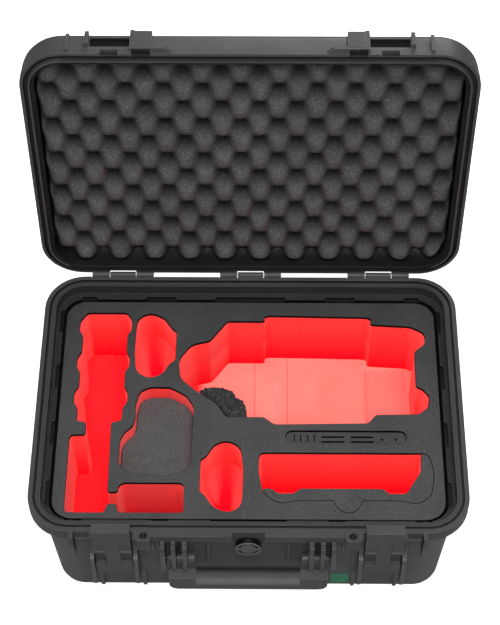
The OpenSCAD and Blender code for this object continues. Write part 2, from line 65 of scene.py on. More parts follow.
# ------------------------------------------------------------------ shader helper
class Shader:
    """A material in the making: each method adds nodes and returns their output."""

    def __init__(self, name):
        self.material = bpy.data.materials.new(name)
        self.material.use_nodes = True
        self.tree = self.material.node_tree
        self.tree.nodes.clear()
        output = self.node("OutputMaterial")
        self.surface = self.node("BsdfPrincipled")
        self.put(output.inputs[0], self.surface.outputs[0])
        self.coords = self.node("TexCoord").outputs["Object"]

    def put(self, socket, value):
        """Links an output to the socket, or sets its value; colours are (r, g, b)."""
        if isinstance(value, bpy.types.NodeSocket):
            self.tree.links.new(value, socket)
        elif socket.type == "RGBA":
            socket.default_value = (*value, 1.0)
        else:
            socket.default_value = value

    def node(self, kind, inputs=None, **settings):
        node = self.tree.nodes.new("ShaderNode" + kind)
        for key, value in settings.items():
            setattr(node, key, value)
        for key, value in (inputs or {}).items():
            self.put(node.inputs[key], value)
        return node

    # textures and coordinates
    def noise(self, scale, detail=3.0, rough=0.55, coords=None):
        inputs = {"Scale": scale, "Detail": detail, "Roughness": rough,
                  "Vector": coords or self.coords}
        return self.node("TexNoise", inputs).outputs["Fac"]

    def voronoi(self, scale, feature="F1"):
        inputs = {"Scale": scale, "Vector": self.coords}
        return self.node("TexVoronoi", inputs, feature=feature).outputs["Distance"]

    def stretched(self, x, y, z):
        """Object coordinates scaled per axis; a small factor draws a texture out."""
        return self.node("Mapping", {"Scale": (x, y, z), "Vector": self.coords}).outputs[0]

    def lid_coords(self):
        """Object coordinates taken back to the closed lid."""
        inputs = {"Location": CLOSED.translation, "Rotation": CLOSED.to_euler(),
                  "Vector": self.coords}
        return self.node("Mapping", inputs).outputs[0]

    def xyz(self, coords=None):
        return self.node("SeparateXYZ", {0: coords or self.coords}).outputs

    def in_mm(self, axis, coords=None):
        return self.multiply(self.xyz(coords)[axis], 1000.0)

    def normal_part(self, axis):
        """One axis of the surface normal, in the object's own frame."""
        return self.xyz(self.node("TexCoord").outputs["Normal"])[axis]

    # arithmetic
    def math(self, operation, first, second=0.0):
        return self.node("Math", {0: first, 1: second}, operation=operation).outputs[0]

    def add(self, first, second):
        return self.math("ADD", first, second)

    def subtract(self, first, second):
        return self.math("SUBTRACT", first, second)

    def multiply(self, first, second):
        return self.math("MULTIPLY", first, second)

    def remap(self, value, start=0.3, end=0.7, lo=0.0, hi=1.0):
        """Takes start..end to lo..hi, clamped; the default start and end suit a noise."""
        inputs = {"From Min": start, "From Max": end, "To Min": lo, "To Max": hi, "Value": value}
        return self.node("MapRange", inputs).outputs[0]

    def line(self, value, place, fade, solid):
        """1 within `solid` of a place, falling to 0 at `fade`."""
        return self.remap(self.math("ABSOLUTE", self.subtract(value, place)), fade, solid)

    def inset(self, coords, half_x, half_y, radius, centre_y=0.0):
        """Distance in mm inwards from a round-cornered rectangle seen from above."""
        parts = self.xyz(coords)
        over = []
        for part, half, centre in ((parts[0], half_x, 0.0), (parts[1], half_y, centre_y)):
            shifted = self.subtract(self.multiply(part, 1000.0), centre)
            over.append(self.subtract(self.math("ABSOLUTE", shifted), half - radius))
        x, y = (self.math("MAXIMUM", value, 0.0) for value in over)
        corner = self.math("SQRT", self.add(self.multiply(x, x), self.multiply(y, y)))
        inside = self.math("MINIMUM", self.math("MAXIMUM", *over), 0.0)
        return self.multiply(self.subtract(self.add(corner, inside), radius), -1.0)

    def edges(self, radius):
        """Near 1 on convex and concave edges, 0 on flats."""
        bevel = self.node("Bevel", {"Radius": radius}, samples=4).outputs[0]
        facing = self.node("NewGeometry").outputs["Normal"]
        dot = self.node("VectorMath", {0: bevel, 1: facing}, operation="DOT_PRODUCT")
        return self.remap(dot.outputs["Value"], start=0.995, end=0.8)

    # colour and relief
    def grey_ramp(self, value, *stops):
        """Greys over 0..1; each stop is (place, grey)."""
        node = self.node("ValToRGB", {0: value})
        elements = node.color_ramp.elements
        while len(elements) < len(stops):
            elements.new(0.5)
        for element, (place, level) in zip(elements, stops):
            element.position = place
            element.color = (level, level, level, 1.0)
        return node.outputs[0]

    def mix(self, factor, first, second, blend="MIX"):
        inputs = {0: factor, 6: first, 7: second}
        return self.node("Mix", inputs, data_type="RGBA", blend_type=blend).outputs[2]

    def tone(self, color, factor):
        """A colour multiplied by another."""
        return self.mix(1.0, color, factor, "MULTIPLY")

    def mottle(self, texture, dark, light):
        return self.mix(self.remap(texture), dark, light)

    def bump(self, height, strength, distance, normal=None):
        inputs = {"Strength": strength, "Distance": distance, "Height": height}
        if normal is not None:
            inputs["Normal"] = normal
        return self.node("Bump", inputs).outputs[0]

    def finish(self, color, rough, spec, normal=None, extra=None):
        """Wires up the surface and returns the material."""
        inputs = {"Base Color": color, "Roughness": rough, "Specular IOR Level": spec}
        if normal is not None:
            inputs["Normal"] = normal
        for key, value in (inputs | (extra or {})).items():
            self.put(self.surface.inputs[key], value)
        return self.material


def grey(level):
    """A grey with a trace of blue."""
    return (level, level, level * 1.02)


# ------------------------------------------------------------------ hard materials
# Painted shade bands on the rims: (share of the band width inwards from the outline, brightness).
LID_BAND_WIDTH = 16.0
LID_SHADE_BANDS = [(0.0, 1.0), (0.200, 1.0), (0.215, 0.16), (0.515, 0.14),
             (0.535, 0.85), (0.655, 0.8), (0.675, 0.12), (1.0, 0.1)]
BASE_BAND_WIDTH = 20.0
BASE_SHADE_BANDS = [(0.0, 1.0), (0.235, 1.0), (0.25, 0.2), (0.395, 0.2),
              (0.41, 0.8), (0.64, 0.7), (0.66, 0.42), (1.0, 0.38)]


def shade_lid(mat, color):
    """Painted shade: the recess, ridge and channel of the lid's rim read as dark bands round the
    foam.
    """
    coords = mat.lid_coords()
    depth = mat.inset(coords, half_x=234.8, half_y=165.4, radius=45.5, centre_y=-1.4)
    band = mat.grey_ramp(mat.math("DIVIDE", depth, LID_BAND_WIDTH), *LID_SHADE_BANDS)
    above_rim = mat.remap(mat.in_mm(2, coords), start=171.0, end=170.0)
    return mat.mix(above_rim, color, mat.tone(color, band))


def shade_base(mat, color):
    """Painted shade in the groove, inner drop and ledge cut-outs of the base's rim, with painted
    light on the outer walls below it.
    """
    depth = mat.inset(mat.coords, half_x=232.0, half_y=164.0, radius=44.0)
    # Painted shade: dark bands in the groove and down the inner drop of the rim.
    band = mat.grey_ramp(mat.math("DIVIDE", depth, BASE_BAND_WIDTH), *BASE_SHADE_BANDS)
    z = mat.in_mm(2)
    inner = mat.math("GREATER_THAN", depth, 4.6)
    rim = mat.multiply(inner, mat.remap(z, start=110.0, end=118.0))
    color = mat.mix(rim, color, mat.tone(color, band))
    # Painted light: the outer walls below the rim are made lighter.
    outside = mat.multiply(mat.remap(z, start=118.0, end=112.0),
                           mat.remap(depth, start=14.0, end=10.0))
    color = mat.mix(outside, color, mat.tone(color, (1.7, 1.7, 1.7)))
    # Painted shadow: near black on the inner faces just below the top of the rim.
    below_top = mat.multiply(mat.math("GREATER_THAN", depth, 9.5),
                             mat.remap(z, start=122.6, end=121.0))
    deep_shadow = mat.multiply(below_top, mat.remap(z, start=112.0, end=116.0))
    return mat.mix(deep_shadow, color, (0.003, 0.003, 0.003))


def shade_knob(mat, color):
    """Shadow in the ring groove of the valve's face."""
    groove = mat.remap(mat.in_mm(1), start=-169.9, end=-169.4)
    return mat.mix(groove, color, (0.002, 0.002, 0.002))


def plastic(name, dark, light, rough, grain, relief, edge_lightening, shade=None):
    """Moulded plastic: pebble grain, faint flow mottling, polished edges lightened in patches by
    painted highlight and wear.
    """
    mat = Shader(name)
    flow = mat.noise(scale=14, detail=4, rough=0.6)
    fine = mat.noise(scale=grain, detail=2, rough=0.7)
    pebble = mat.voronoi(scale=grain * 0.75, feature="SMOOTH_F1")
    edges = mat.edges(radius=0.0011)
    color = mat.mottle(flow, grey(dark), grey(light))
    flecks = mat.multiply(mat.remap(fine, start=0.35, end=0.75), 0.35)
    color = mat.mix(flecks, color, grey(light * 1.6))
    patches = mat.noise(scale=160, detail=4, rough=0.7)
    # Edges painted lighter in patches: painted highlight together with wear.
    lit_worn_edges = mat.multiply(mat.multiply(edges, edge_lightening), mat.remap(patches, end=0.62, lo=0.35))
    color = mat.mix(lit_worn_edges, color, grey(light * 2.9))
    if shade:
        color = shade(mat, color)
    smears = mat.noise(scale=30, detail=4, rough=0.6)
    roughness = mat.add(mat.remap(smears, lo=rough - 0.06, hi=rough + 0.1),
                        mat.multiply(edges, -0.08))
    normal = mat.bump(pebble, strength=relief, distance=0.00018)
    normal = mat.bump(fine, strength=relief * 0.8, distance=0.00012, normal=normal)
    waviness = mat.noise(scale=60, detail=3, rough=0.5)
    normal = mat.bump(waviness, strength=0.12, distance=0.0004, normal=normal)
    return mat.finish(color, roughness, spec=0.32, normal=normal)


def turned_metal(name, dark, light, rough, spec, metallic):
    """Metal with fine lines along x; rough is its (lowest, highest) roughness."""
    mat = Shader(name)
    lines = mat.noise(scale=900, detail=3, rough=0.6, coords=mat.stretched(0.02, 1, 1))
    return mat.finish(mat.mottle(lines, dark, light), mat.remap(lines, lo=rough[0], hi=rough[1]),
                      spec, mat.bump(lines, strength=0.15, distance=0.0001),
                      {"Metallic": metallic})


def rubber(name, level, rough):
    mat = Shader(name)
    fine = mat.noise(scale=1800, detail=3, rough=0.7)
    color = mat.mottle(mat.noise(scale=40, detail=4), grey(level), grey(level * 1.7))
    return mat.finish(color, mat.remap(fine, lo=rough, hi=rough + 0.15), spec=0.35,
                      normal=mat.bump(fine, strength=0.25, distance=0.0002))


def grip_rubber():
    """Soft grip: banded pebble with a satin sheen, with painted shade towards its top."""
    mat = Shader("grip_rubber")
    wave = mat.node("TexWave", {"Scale": 95, "Vector": mat.coords},
                    wave_type="BANDS", bands_direction="X")
    fine = mat.noise(scale=1500, detail=3, rough=0.7)
    height = mat.add(mat.multiply(wave.outputs["Fac"], 0.25), fine)
    color = mat.mottle(mat.noise(scale=25, detail=4), grey(0.15), grey(0.19))
    # Painted shade: the upper part of the grip goes near black.
    top = mat.remap(mat.xyz()[2], start=0.0680, end=0.0752)
    color = mat.mix(top, color, grey(0.008))
    return mat.finish(color, mat.remap(fine, lo=0.5, hi=0.68), spec=0.4,
                      normal=mat.bump(height, strength=0.35, distance=0.0003))


def vent_membrane():
    mat = Shader("vent_membrane")
    fine = mat.noise(scale=2500, detail=4, rough=0.8)
    color = mat.mottle(fine, (0.7, 0.7, 0.68), (0.85, 0.85, 0.83))
    return mat.finish(color, rough=0.85, spec=0.2,
                      normal=mat.bump(fine, strength=0.3, distance=0.0002))


def badge_enamel():
    """Plain enamelled badge: satin green face with a fine orange-peel."""
    mat = Shader("badge_enamel")
    peel = mat.noise(scale=500, detail=3, rough=0.6)
    color = mat.mottle(mat.noise(scale=90, detail=4), (0.010, 0.19, 0.085), (0.016, 0.25, 0.115))
    return mat.finish(color, mat.remap(peel, lo=0.25, hi=0.36), spec=0.5,
                      normal=mat.bump(peel, strength=0.1, distance=0.0002))


# ------------------------------------------------------------------ foam materials
# Painted shadow: near black for upright foam faces and slits.
SHADOW_BLACK = (0.0035, 0.0035, 0.0035)
# Painted shadow on the red foam's outer sides.
RED_SHADOW = (0.004, 0.002, 0.002)


def painted_shadow_mask(mat):
    """Mask for painted shadow: 1 on the outer sides of the foam stack, which sit in the dark
    behind the ledge, and on the walls at the front right beyond x = 195 mm.
    """
    parts = mat.xyz()
    depth = mat.inset(mat.coords, half_x=208.5, half_y=140.0, radius=22.0)
    rim = mat.remap(depth, start=10.9, end=10.5)
    gap = mat.multiply(mat.remap(parts[0], start=0.1945, end=0.1955),
                       mat.remap(parts[1], start=-0.048, end=-0.054))
    return mat.math("MAXIMUM", rim, gap)


def sideways(mat):
    """1 on walls that face left or right."""
    return mat.remap(mat.math("ABSOLUTE", mat.normal_part(0)), start=0.25, end=0.95)


def shade_red(mat, color):
    """Painted shade and light: deeper red low down, paler on side walls, painted shadow round the
    outside.
    """
    # Painted shade: deeper red low in the pockets.
    low = mat.remap(mat.in_mm(2), start=100.0, end=40.0)
    color = mat.mix(low, color, (0.88, 0.001, 0.012))
    # Painted light: side walls paler.
    color = mat.mix(mat.multiply(sideways(mat), 0.8), color, (0.86, 0.085, 0.078))
    # Painted shadow: near black round the outside.
    return mat.mix(painted_shadow_mask(mat), color, RED_SHADOW)


def shade_sheet(mat, color):
    """The sheet darkens towards the hinge, where the open lid shades it."""
    back = mat.remap(mat.xyz()[1], start=-0.14, end=0.14)
    return mat.tone(color, mat.grey_ramp(back, (0.0, 1.06), (0.55, 0.98), (1.0, 0.66)))


def shade_cards(mat, color):
    """Shadow inside the four narrow slits."""
    x, y, _ = mat.xyz()
    slits = None
    for centre in (0.049, 0.056, 0.0635, 0.0705):
        slit = mat.line(x, centre, fade=0.0008, solid=0.0005)
        slits = slit if slits is None else mat.math("MAXIMUM", slits, slit)
    length = mat.multiply(mat.remap(y, start=-0.0433, end=-0.0428),
                          mat.remap(y, start=-0.0337, end=-0.0342))
    return mat.mix(mat.multiply(slits, length), color, SHADOW_BLACK)


def shade_bed(mat, color):
    """The bed of the big pocket is a paler foam than the other floors."""
    x, y, z = mat.xyz()
    bed = mat.multiply(mat.remap(x, start=-0.062, end=-0.052),
                       mat.remap(y, start=-0.032, end=-0.026))
    pale = mat.mottle(mat.noise(scale=16, detail=3, rough=0.6),
                      (0.93, 0.235, 0.19), (0.97, 0.31, 0.26))
    seams = (mat.line(x, centre, fade=0.0011, solid=0.0003) for centre in (0.005, 0.043))
    seam = mat.multiply(mat.math("MAXIMUM", *seams), 0.55)
    pale = mat.mix(seam, pale, (0.80, 0.09, 0.075))
    side = mat.multiply(mat.remap(x, start=0.1325, end=0.1335),
                        mat.remap(z, start=0.0325, end=0.0315))
    pale = mat.mix(mat.multiply(side, 0.6), pale, (0.95, 0.20, 0.17))
    # Painted shadow: near black round the outside.
    return mat.mix(painted_shadow_mask(mat), mat.mix(bed, color, pale), RED_SHADOW)


def shade_egg(mat, color):
    """Valleys of the convoluted sheet hold painted shadow; the bump tops get painted light."""
    depth = mat.remap(mat.in_mm(2, mat.lid_coords()), start=146.0, end=166.0)
    shadow = mat.grey_ramp(depth, (0.0, 1.25), (0.35, 0.95), (0.8, 0.5), (1.0, 0.34))
    return mat.tone(color, shadow)


def painted_red_glow(mat):
    """Painted light: the red foam glows, stronger high up and on side walls, and not at all on the
    shaded outer sides.
    """
    height = mat.remap(mat.in_mm(2), start=34.0, end=118.0)
    color = mat.mix(height, (0.11, 0.0, 0.004), (0.26, 0.026, 0.025))
    color = mat.mix(mat.multiply(sideways(mat), 0.7), color, (0.22, 0.052, 0.048))
    return mat.mix(painted_shadow_mask(mat), color, (0.0, 0.0, 0.0))


def foam(name, dark, light, cell=1100.0, relief=0.6, blotch=18.0, speck=0.5,
         speck_color=None, walls=None, shade=None, streak=0.0, glowing=False):
    """Closed-cell foam: tiny burst cells, light specks, soft blotches.

    cell and blotch are texture scales, relief and streak bump strengths, walls the painted
    shade of upright faces. Glowing foam has no coarse grain and glows red as painted light.
    """
    mat = Shader(name)
    cells = mat.voronoi(scale=cell)
    fine = mat.noise(scale=cell * 1.6, detail=3, rough=0.75)
    color = mat.mottle(mat.noise(scale=blotch, detail=4, rough=0.6), dark, light)
    if not glowing:
        grain = mat.noise(scale=520, detail=3, rough=0.75)
        color = mat.tone(color, mat.grey_ramp(grain, (0.3, 0.74), (0.7, 1.26)))
    specks = mat.remap(mat.noise(scale=cell * 0.9, detail=2, rough=0.8), start=0.52, end=0.72)
    color = mat.mix(mat.multiply(specks, speck), color,
                    speck_color or tuple(min(1.0, part * 2.2) for part in light))
    pits = mat.remap(cells, start=0.0, end=0.35, lo=1.0, hi=0.0)
    color = mat.mix(mat.multiply(pits, 0.5), color, tuple(part * 0.45 for part in dark))
    if walls:
        # Painted shade: upright faces darkened to the walls colour.
        color = mat.mix(mat.remap(mat.normal_part(2), start=0.75, end=0.35), color, walls)
    if shade:
        color = shade(mat, color)
    normal = mat.bump(cells, strength=relief, distance=0.0004)
    normal = mat.bump(fine, strength=relief, distance=0.0003, normal=normal)
    if streak:
        upright = mat.noise(scale=260, detail=3, rough=0.6, coords=mat.stretched(1, 1, 0.04))
        normal = mat.bump(upright, strength=streak, distance=0.0006, normal=normal)
    extra = {"Sheen Weight": 0.0, "Sheen Roughness": 0.6}
    if glowing:
        extra |= {"Emission Color": painted_red_glow(mat), "Emission Strength": 1.0}
    return mat.finish(color, rough=0.95, spec=0.12, normal=normal, extra=extra)


MATERIALS = {
    "shell": plastic("shell_plastic", dark=0.040, light=0.052, rough=0.44, grain=1300,
                     relief=0.32, edge_lightening=0.8, shade=shade_base),
    "lid": plastic("lid_plastic", dark=0.044, light=0.056, rough=0.44, grain=1300,
                   relief=0.32, edge_lightening=0.8, shade=shade_lid),
    "latch": plastic("latch_plastic", dark=0.046, light=0.060, rough=0.40, grain=1700,
                     relief=0.22, edge_lightening=0.9),
    "knob": plastic("knob_plastic", dark=0.066, light=0.084, rough=0.38, grain=1700,
                    relief=0.2, edge_lightening=0.9, shade=shade_knob),
    "gasket": rubber("gasket_rubber", level=0.004, rough=0.6),
    "seal": rubber("seal_rubber", level=0.01, rough=0.5),
    "grip": grip_rubber(),
    "steel": turned_metal("drawn_steel", dark=(0.42, 0.43, 0.45), light=(0.68, 0.69, 0.71),
                          rough=(0.24, 0.42), spec=0.5, metallic=1.0),
    "pin": turned_metal("black_steel", dark=grey(0.03), light=grey(0.07),
                        rough=(0.42, 0.58), spec=0.4, metallic=0.6),
    "membrane": vent_membrane(),
    "label": badge_enamel(),
    "black": foam("foam_black", dark=(0.050, 0.050, 0.051), light=(0.068, 0.068, 0.069),
                  relief=0.5, speck=0.7, walls=SHADOW_BLACK, shade=shade_sheet),
    "cover": foam("foam_cover", dark=(0.067, 0.068, 0.069), light=(0.088, 0.089, 0.090),
                  relief=0.5, speck=0.9, walls=SHADOW_BLACK),
    "cards": foam("foam_cards", dark=(0.050, 0.050, 0.051), light=(0.066, 0.066, 0.067),
                  walls=SHADOW_BLACK, shade=shade_cards),
    "egg": foam("foam_egg", dark=(0.05, 0.05, 0.051), light=(0.068, 0.068, 0.07),
                cell=620, relief=0.9, speck=0.75, shade=shade_egg),
    "rough": foam("foam_rough", dark=(0.014, 0.014, 0.015), light=(0.05, 0.05, 0.052),
                  cell=420, relief=1.0, speck=0.8, blotch=130.0),
    "red": foam("foam_red", dark=(0.92, 0.026, 0.026), light=(0.97, 0.038, 0.036),
                cell=1500, relief=0.12, speck=0.1, speck_color=(1.0, 0.09, 0.08),
                blotch=9.0, streak=0.25, shade=shade_red, glowing=True),
    "floor_red": foam("foam_floor", dark=(0.86, 0.012, 0.018), light=(0.94, 0.022, 0.026),
                      cell=1500, relief=0.12, speck=0.12, speck_color=(1.0, 0.3, 0.26),
                      blotch=7.0, shade=shade_bed, glowing=True),
}

# ------------------------------------------------------------------ CAD pieces
# Piece, without its side: (material, width of its softened edges in mm).
PARTS = {
    "base_shell": ("shell", 0.8), "lid_shell": ("lid", 0.8), "lid_gasket": ("gasket", 0.5),
    "hinge_pin": ("steel", 0.25),
    "latch_link": ("latch", 0.6), "latch_lever": ("latch", 0.7),
    "latch_base_pin": ("pin", 0.25), "latch_lever_pin": ("pin", 0.7),
    "handle_frame": ("latch", 0.9), "handle_grip": ("grip", 1.0), "handle_pin": ("pin", 0.25),
    "purge_valve_body": ("latch", 0.4), "purge_valve_knob": ("knob", 0.6),
    "purge_valve_seal": ("seal", 0.25), "purge_valve_nut": ("latch", 0.5),
    "purge_valve_membrane": ("membrane", 0.25),
    "foam_top_sheet": ("black", 0.25), "foam_upper_block": ("red", 0.25),
    "foam_lower_block": ("red", 0.25), "foam_floor_pad": ("floor_red", 0.25),
    "accessory_cover_foam": ("cover", 0.25), "controller_filler_top": ("black", 0.25),
    "controller_filler_core": ("red", 0.25), "card_holder_foam": ("cards", 0.25),
    "gimbal_rest_foam": ("rough", 0.25), "lid_foam": ("egg", 0.25),
    "front_label": ("label", 0.25),
}


def smooth(mesh):
    for polygon in mesh.polygons:
        polygon.use_smooth = True


def set_material(mesh, part):
    mesh.materials.clear()
    mesh.materials.append(MATERIALS[PARTS[part][0]])


def soften(obj, width):
    """Welds the piece and rounds its sharp edges."""
    weld = obj.modifiers.new("weld", "WELD")
    weld.merge_threshold = 2e-6
    bevel = obj.modifiers.new("soft_edges", "BEVEL")
    bevel.width = width * MM
    bevel.segments = 2
    bevel.limit_method = "ANGLE"
    bevel.angle_limit = math.radians(38)
    bevel.harden_normals = False
    bevel.use_clamp_overlap = True
    normals = obj.modifiers.new("normals", "WEIGHTED_NORMAL")
    normals.keep_sharp = False
    normals.weight = 60


for node_name, cad_object in frame["nodes"].items():
    part_name = node_name
    for side in ("_left", "_center", "_right"):
        part_name = part_name.removesuffix(side)
    set_material(cad_object.data, part_name)
    soften(cad_object, PARTS[part_name][1])
    smooth(cad_object.data)


# ------------------------------------------------------------------ foam building helpers
def stand_in(obj, node, body):
    """Puts an object in a CAD node's place, moving with a body."""
    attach(obj, body)
    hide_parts(node)


def new_foam(name, verts, faces, node, body, flat_caps=False):
    """A foam mesh in place of a CAD node; flat_caps shades level faces flat."""
    mesh = bpy.data.meshes.new(name)
    mesh.from_pydata([tuple(vert) for vert in verts], [], faces)
    mesh.validate()
    obj = bpy.data.objects.new(name, mesh)
    SCENE.collection.objects.link(obj)
    set_material(mesh, node)
    smooth(mesh)
    stand_in(obj, node, body)
    work = bmesh.new()
    work.from_mesh(mesh)
    bmesh.ops.recalc_face_normals(work, faces=work.faces)
    if flat_caps:
        for face in work.faces:
            face.smooth = abs(face.normal.z) < 0.999
    work.to_mesh(mesh)
    work.free()
    return obj


# ------------------------------------------------------------------ cut foam
OUTLINE_STEP = 1.6     # mm between outline points
OUTLINE_SIGMA = 1.3    # width of the smoothing, in points
SCOOP_STEPS = 12
SCOOP_REACH = 25       # a hole centred this near a scoop's place becomes a bowl
MOTOR_BOWLS = [(-105.0, 84.0), (-30.5, -91.0)]


def smoothed(corners):
    """A closed outline resampled at even steps and smoothed."""
    ring = np.array(corners)
    lengths = np.linalg.norm(np.roll(ring, -1, 0) - ring, axis=1)
    along = np.concatenate([[0], np.cumsum(lengths)])
    count = max(24, int(along[-1] / OUTLINE_STEP))
    places = np.linspace(0, along[-1], count, endpoint=False)
    closed = np.vstack([ring, ring[:1]])
    outline = np.c_[np.interp(places, along, closed[:, 0]), np.interp(places, along, closed[:, 1])]
    kernel = np.exp(-0.5 * (np.arange(-4, 5) / OUTLINE_SIGMA) ** 2)
    kernel /= kernel.sum()
    return sum(weight * np.roll(outline, j, 0) for j, weight in zip(range(-4, 5), kernel))


def signed_area(outline):
    x, y = outline[:, 0], outline[:, 1]
    return 0.5 * np.sum(x * np.roll(y, -1) - np.roll(x, -1) * y)


def top_outlines(node):
    """Closed outlines round a node's flat top, in mm, material on the left; outer one first."""
    mesh = frame["nodes"][node].data
    verts = np.array([vert.co for vert in mesh.vertices], float) / MM
    top = verts[:, 2].max()
    ids, edges = {}, set()
    for polygon in mesh.polygons:
        corners = list(polygon.vertices)
        if all(abs(verts[i][2] - top) < 0.02 for i in corners):
            keys = [ids.setdefault((round(verts[i][0], 2), round(verts[i][1], 2)), len(ids))
                    for i in corners]
            edges.update((a, b) for a, b in zip(keys, keys[1:] + keys[:1]) if a != b)
    points = {key: np.array(place) for place, key in ids.items()}
    # An edge used in one direction only lies on the border.
    following = {a: b for a, b in edges if (b, a) not in edges}
    outlines = []
    while following:
        key = next(iter(following))
        ring = []
        while key in following:
            ring.append(points[key])
            key = following.pop(key)
        if len(ring) >= 6:
            outlines.append(smoothed(ring))
    return sorted(outlines, key=lambda outline: -signed_area(outline))


def squared(outline):
    """Stands the two shoulders of the big pocket's back lobe up steeper, into the foam only."""
    def ease(share):
        share = np.clip(share, 0, 1)
        return share * share * (3 - 2 * share)

    x, y = outline[:, 0], outline[:, 1]
    left = ease((y - 114.2) / 5.5) * ease((46 - x) / 18) * (x > 8)
    right = ease((y - 110.5) / 7.0) * ease((x - 104) / 18) * (x < 150)
    return np.c_[x + np.where(y > 108, 6.5 * right - 5.5 * left, 0.0), y]


def moved(outline, distance):
    """An outline moved into its material, in mm."""
    along = np.roll(outline, -1, 0) - np.roll(outline, 1, 0)
    along /= np.maximum(np.linalg.norm(along, axis=1, keepdims=True), 1e-9)
    return outline + distance * np.c_[-along[:, 1], along[:, 0]]


def crowned(verts, crown, above):
    """Lowers the verts over a height, more towards the piece's outside."""
    flat = np.array(verts)
    centre = flat.mean(0)[:2]
    half = np.abs(flat[:, :2] - centre).max(0)
    result = []
    for x, y, z in verts:
        if z > above:
            z -= crown * min(1.0, ((x - centre[0]) / half[0]) ** 2
                             + ((y - centre[1]) / half[1]) ** 2)
        result.append((x, y, z))
    return result


def cut_foam(name, node, body="base", edge=0.4, inset=0.0, scoops=(), steps=3, crown=0.0):
    """A die-cut layer: rolled upper edge, plain walls, flat underside; scoops become bowls."""
    low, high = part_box(node)
    bottom, top = low[2] / MM, high[2] / MM
    outer, *holes = top_outlines(node)
    outlines = [moved(outer, inset)]
    outlines += [squared(hole) if np.ptp(hole[:, 0]) > 200 else hole for hole in holes]
    verts, faces = [], []

    def ring(outline, z):
        start = len(verts)
        verts.extend((x, y, z) for x, y in outline)
        return range(start, len(verts))

    tops, bottoms = [], []
    for outline in outlines:
        rings = []
        for step in range(steps + 1):
            angle = math.radians(90 * step / steps)
            rings.append(ring(moved(outline, edge * (1 - math.sin(angle))),
                              top - edge * (1 - math.cos(angle))))
        tops.append(rings[0])
        centre = outline.mean(0)
        scooped = any(np.hypot(*(centre - np.array(place))) < SCOOP_REACH for place in scoops)
        if scooped:
            for step in range(1, SCOOP_STEPS + 1):
                angle = math.radians(90 * step / SCOOP_STEPS)
                shrink = max(max(math.cos(angle), 0.0) ** 0.62, 0.02)
                drop = (top - edge - bottom - 0.3) * math.sin(angle) ** 1.25
                rings.append(ring(centre + (outline - centre) * shrink, top - edge - drop))
        else:
            rings.append(ring(outline, bottom))
            bottoms.append(rings[-1])
        for upper, lower in zip(rings, rings[1:]):
            for i in range(len(upper)):
                j = (i + 1) % len(upper)
                faces.append((upper[i], lower[i], lower[j], upper[j]))
        if scooped:
            faces.append(tuple(rings[-1]))
    for borders, order in ((tops, 1), (bottoms, -1)):
        polygons = [[Vector((*verts[i][:2], 0)) for i in border] for border in borders]
        flat = [i for border in borders for i in border]
        for triangle in tessellate_polygon(polygons):
            faces.append(tuple(flat[i] for i in triangle)[::order])
    if crown:
        verts = crowned(verts, crown, above=top - edge * 1.01)
    obj = new_foam(name, [Vector(vert) * MM for vert in verts], faces, node, body, flat_caps=True)
    normals = obj.modifiers.new("normals", "WEIGHTED_NORMAL")
    normals.weight = 80


# ------------------------------------------------------------------ remeshed foam
def crumple_mesh(mesh, depth):
    """Tears the surface inwards along noise creases, in mm."""
    normals = [vert.normal.copy() for vert in mesh.vertices]
    for vert, normal in zip(mesh.vertices, normals):
        place = vert.co / MM
        broad = 1 - abs(noise.noise(place * 0.13)) * 2.2
        small = 1 - abs(noise.noise(place * 0.31 + Vector((7, 1, 3)))) * 2.2
        grain = noise.noise(place * 0.8)
        tear = max(0.0, 0.25 + 0.62 * broad * broad + 0.3 * small * small + 0.14 * grain)
        vert.co -= normal * MM * depth * tear


def soft_copy(name, node, voxel, relax, crumple=0.0):
    """A piece remade as one skin of voxels (mm), with relaxed edges."""
    mesh = frame["nodes"][node].data.copy()
    mesh.name = name
    obj = bpy.data.objects.new(name, mesh)
    SCENE.collection.objects.link(obj)
    work = bmesh.new()
    work.from_mesh(mesh)
    bmesh.ops.remove_doubles(work, verts=work.verts, dist=2e-6)
    work.to_mesh(mesh)
    work.free()
    skin = obj.modifiers.new("skin", "REMESH")
    skin.mode = "VOXEL"
    skin.voxel_size = voxel * MM
    relaxing = obj.modifiers.new("relax", "SMOOTH")
    relaxing.factor = 0.5
    relaxing.iterations = relax
    depsgraph = bpy.context.evaluated_depsgraph_get()
    done = bpy.data.meshes.new_from_object(obj.evaluated_get(depsgraph))
    obj.modifiers.clear()
    obj.data = done
    done.name = name
    if crumple:
        crumple_mesh(done, crumple)
    set_material(done, node)
    smooth(done)
    stand_in(obj, node, "base")


cut_foam("foam_top_sheet_cut", "foam_top_sheet", edge=0.9)
cut_foam("foam_upper_block_cut", "foam_upper_block", inset=4.0)
cut_foam("foam_lower_block_cut", "foam_lower_block", inset=2.0, scoops=MOTOR_BOWLS)
cut_foam("accessory_cover_pad", "accessory_cover_foam", "accessory_cover",
         edge=2.2, steps=5, crown=1.4)
cut_foam("controller_filler_skin", "controller_filler_top", "controller_filler", edge=0.8)
cut_foam("controller_filler_body", "controller_filler_core", "controller_filler")
soft_copy("foam_floor_bed", "foam_floor_pad", voxel=1.9, relax=2)
soft_copy("card_holder_slotted", "card_holder_foam", voxel=0.56, relax=0)
soft_copy("gimbal_rest_torn", "gimbal_rest_foam", voxel=1.1, relax=3, crumple=3.2)

# ------------------------------------------------------------------ lid foam: convoluted sheet
EGG_PITCH_X, EGG_PITCH_Y = 39.7, 49.9    # mm for a full wave
EGG_SHIFT_X, EGG_SHIFT_Y = 9.6, 127.6
EGG_DEPTH = 18.5                         # valley to bump top
EGG_CORNER = 30.0                        # corner radius of the sheet
EGG_COLUMNS, EGG_ROWS = 300, 206
EGG_ROLL = 3.0                           # width of the rolled border
EGG_ROLL_DROP = 2.2


